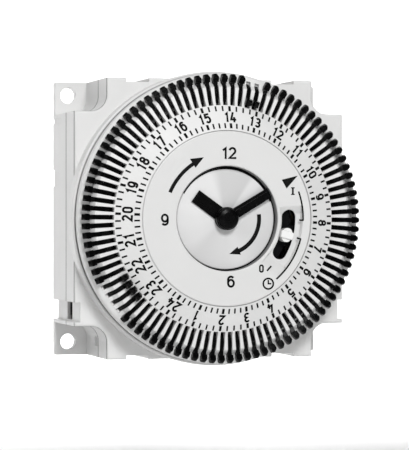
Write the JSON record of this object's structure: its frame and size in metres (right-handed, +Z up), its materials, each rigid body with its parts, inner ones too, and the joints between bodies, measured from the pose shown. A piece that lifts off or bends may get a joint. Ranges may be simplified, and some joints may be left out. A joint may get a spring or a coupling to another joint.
{
  "type": "programmable timer",
  "caption": "Square 24-hour timer module: round dial with a rim of quarter-hour tappets turning about a fixed face with clock hands and a three-place override lever.",
  "frame": {"origin": "centre of the four mounting holes, on the rear face of the ears", "axes": "+Z up, +X to the right of a person facing the dial, the dial faces -Y"},
  "size_m": [0.0754, 0.0425, 0.0754],
  "materials": {
    "housing_plastic": "light grey satin moulding with softly rounded edges",
    "face_plastic": "light grey smooth moulding",
    "dial_plastic": "near-white fine-textured moulding",
    "tappet_plastic": "black semi-gloss moulding with ribbed heads",
    "hand_plastic": "black semi-gloss moulding",
    "knob_plastic": "white gloss moulding",
    "silvered_metal": "spun silver",
    "brass": "machined",
    "steel": "satin",
    "tinned_blade": "tinned",
    "gear_plastic": "natural acetal",
    "motor_steel": "zinc plated",
    "coil_former": "red moulding",
    "copper_wire": "enamelled copper",
    "magnet": "sintered",
    "switch_plastic": "black moulding",
    "wire_cover": "smooth insulation"
  },
  "bodies": {
    "case": {"front_housing": "housing_plastic", "rear_housing": "housing_plastic", "face_plate": "face_plastic", "centre_disc": "silvered_metal", "dial_retainer": "steel", "motion_axle": "steel", "transfer_axle": "steel", "movement_front_plate": "brass", "movement_rear_plate": "brass", "movement_pillars": "brass", "movement_screws": "steel", "motor_can": "motor_steel", "motor_lid": "motor_steel", "coil_bobbin": "coil_former", "coil_winding": "copper_wire", "detent_spring": "steel", "feeler_pin": "steel", "feeler_spring": "steel", "switch_case": "switch_plastic", "switch_lid": "switch_plastic", "switch_blade": "brass", "switch_pins": "tinned_blade", "terminal_blades": "tinned_blade", "lead_wires": "wire_cover"},
    "dial": {"dial_ring": "dial_plastic", "tappet_carrier": "dial_plastic", "dial_gear": "gear_plastic", "tappet_hinge_ring": "steel", "tappets": "tappet_plastic"},
    "minute_train": {"minute_hand": "hand_plastic", "hub_cap": "hand_plastic", "minute_arbor": "steel", "cannon_pinion": "brass", "drive_wheel": "brass", "clutch_spring": "steel"},
    "hour_train": {"hour_hand": "hand_plastic", "hour_wheel": "gear_plastic"},
    "motion": {"motion_wheel": "gear_plastic"},
    "transfer": {"transfer_gear": "gear_plastic"},
    "motor_output": {"output_pinion": "brass", "output_gear": "gear_plastic"},
    "rotor": {"rotor_magnet": "magnet", "rotor_shaft": "steel"},
    "override": {"override_lever": "switch_plastic", "override_knob": "knob_plastic"},
    "feeler": {"feeler_lever": "gear_plastic"},
    "plunger": {"switch_plunger": "knob_plastic"},
    "tappet_50": {"tappet_50": "tappet_plastic"},
    "tappet_51": {"tappet_51": "tappet_plastic"},
    "tappet_52": {"tappet_52": "tappet_plastic"},
    "tappet_53": {"tappet_53": "tappet_plastic"},
    "tappet_54": {"tappet_54": "tappet_plastic"},
    "tappet_55": {"tappet_55": "tappet_plastic"},
    "tappet_87": {"tappet_87": "tappet_plastic"},
    "tappet_88": {"tappet_88": "tappet_plastic"},
    "tappet_89": {"tappet_89": "tappet_plastic"},
    "tappet_90": {"tappet_90": "tappet_plastic"},
    "tappet_91": {"tappet_91": "tappet_plastic"},
    "tappet_92": {"tappet_92": "tappet_plastic"}
  },
  "joints": [
    {"name": "dial_spin", "type": "hinge", "parent": "case", "child": "dial", "pos_m": [0, -0.036, 0], "axis": [0, 1, 0], "continuous": true},
    {"name": "minute_spin", "type": "hinge", "parent": "case", "child": "minute_train", "pos_m": [0, -0.03, 0], "axis": [0, 1, 0], "continuous": true},
    {"name": "hour_spin", "type": "hinge", "parent": "case", "child": "hour_train", "pos_m": [0, -0.036, 0], "axis": [0, 1, 0], "continuous": true},
    {"name": "motion_spin", "type": "hinge", "parent": "case", "child": "motion", "pos_m": [-0.0048, -0.033, 0.00831], "axis": [0, 1, 0], "continuous": true},
    {"name": "transfer_spin", "type": "hinge", "parent": "case", "child": "transfer", "pos_m": [-0.01498, -0.0335, 0.00761], "axis": [0, 1, 0], "continuous": true},
    {"name": "output_spin", "type": "hinge", "parent": "case", "child": "motor_output", "pos_m": [-0.00243, -0.028, -0.01379], "axis": [0, 1, 0], "continuous": true},
    {"name": "rotor_spin", "type": "hinge", "parent": "case", "child": "rotor", "pos_m": [-0.002, -0.02, -0.0045], "axis": [0, 1, 0], "continuous": true},
    {"name": "override_swing", "type": "hinge", "parent": "case", "child": "override", "pos_m": [0, -0.038, 0], "axis": [0, 1, 0], "range_deg": [-15, 15]},
    {"name": "feeler_swing", "type": "hinge", "parent": "case", "child": "feeler", "pos_m": [0.0295, -0.028, -0.015], "axis": [-1, 0, 0], "range_deg": [0, 3], "stiffness_Nm_per_rad": 0.01, "springref_deg": -2.86},
    {"name": "plunger_press", "type": "slide", "parent": "case", "child": "plunger", "axis": [0, 1, 0], "range_m": [0, 0.00057]},
    {"name": "tappet_50_flip", "type": "hinge", "parent": "dial", "child": "tappet_50", "pos_m": [0.01235, -0.0341, 0.02892], "axis": [-0.9196, 0, 0.3928], "range_deg": [-75, 0]},
    {"name": "tappet_51_flip", "type": "hinge", "parent": "dial", "child": "tappet_51", "pos_m": [0.01044, -0.0341, 0.02967], "axis": [-0.9433, 0, 0.3318], "range_deg": [-75, 0]},
    {"name": "tappet_52_flip", "type": "hinge", "parent": "dial", "child": "tappet_52", "pos_m": [0.00847, -0.0341, 0.03029], "axis": [-0.963, 0, 0.2694], "range_deg": [0, 75]},
    {"name": "tappet_53_flip", "type": "hinge", "parent": "dial", "child": "tappet_53", "pos_m": [0.00647, -0.0341, 0.03078], "axis": [-0.9786, 0, 0.2059], "range_deg": [0, 75]},
    {"name": "tappet_54_flip", "type": "hinge", "parent": "dial", "child": "tappet_54", "pos_m": [0.00445, -0.0341, 0.03113], "axis": [-0.9899, 0, 0.1414], "range_deg": [-75, 0]},
    {"name": "tappet_55_flip", "type": "hinge", "parent": "dial", "child": "tappet_55", "pos_m": [0.0024, -0.0341, 0.03136], "axis": [-0.9971, 0, 0.0764], "range_deg": [-75, 0]},
    {"name": "tappet_87_flip", "type": "hinge", "parent": "dial", "child": "tappet_87", "pos_m": [-0.02836, -0.0341, -0.0136], "axis": [0.4324, 0, -0.9017], "range_deg": [-75, 0]},
    {"name": "tappet_88_flip", "type": "hinge", "parent": "dial", "child": "tappet_88", "pos_m": [-0.02741, -0.0341, -0.01542], "axis": [0.4904, 0, -0.8715], "range_deg": [0, 75]},
    {"name": "tappet_89_flip", "type": "hinge", "parent": "dial", "child": "tappet_89", "pos_m": [-0.02634, -0.0341, -0.01718], "axis": [0.5464, 0, -0.8375], "range_deg": [0, 75]},
    {"name": "tappet_90_flip", "type": "hinge", "parent": "dial", "child": "tappet_90", "pos_m": [-0.02516, -0.0341, -0.01887], "axis": [0.6, 0, -0.8], "range_deg": [0, 75]},
    {"name": "tappet_91_flip", "type": "hinge", "parent": "dial", "child": "tappet_91", "pos_m": [-0.02387, -0.0341, -0.02048], "axis": [0.651, 0, -0.759], "range_deg": [0, 75]},
    {"name": "tappet_92_flip", "type": "hinge", "parent": "dial", "child": "tappet_92", "pos_m": [-0.02248, -0.0341, -0.02199], "axis": [0.6993, 0, -0.7148], "range_deg": [-75, 0]}
  ],
  "couplings": [
    {"joint": "minute_spin", "follows": "dial_spin", "ratio": 24},
    {"joint": "hour_spin", "follows": "dial_spin", "ratio": 2},
    {"joint": "motion_spin", "follows": "dial_spin", "ratio": -8},
    {"joint": "transfer_spin", "follows": "dial_spin", "ratio": 3.3333},
    {"joint": "output_spin", "follows": "dial_spin", "ratio": -144},
    {"joint": "feeler_swing", "follows": "plunger_press", "rad_per_m": 90.909}
  ]
}
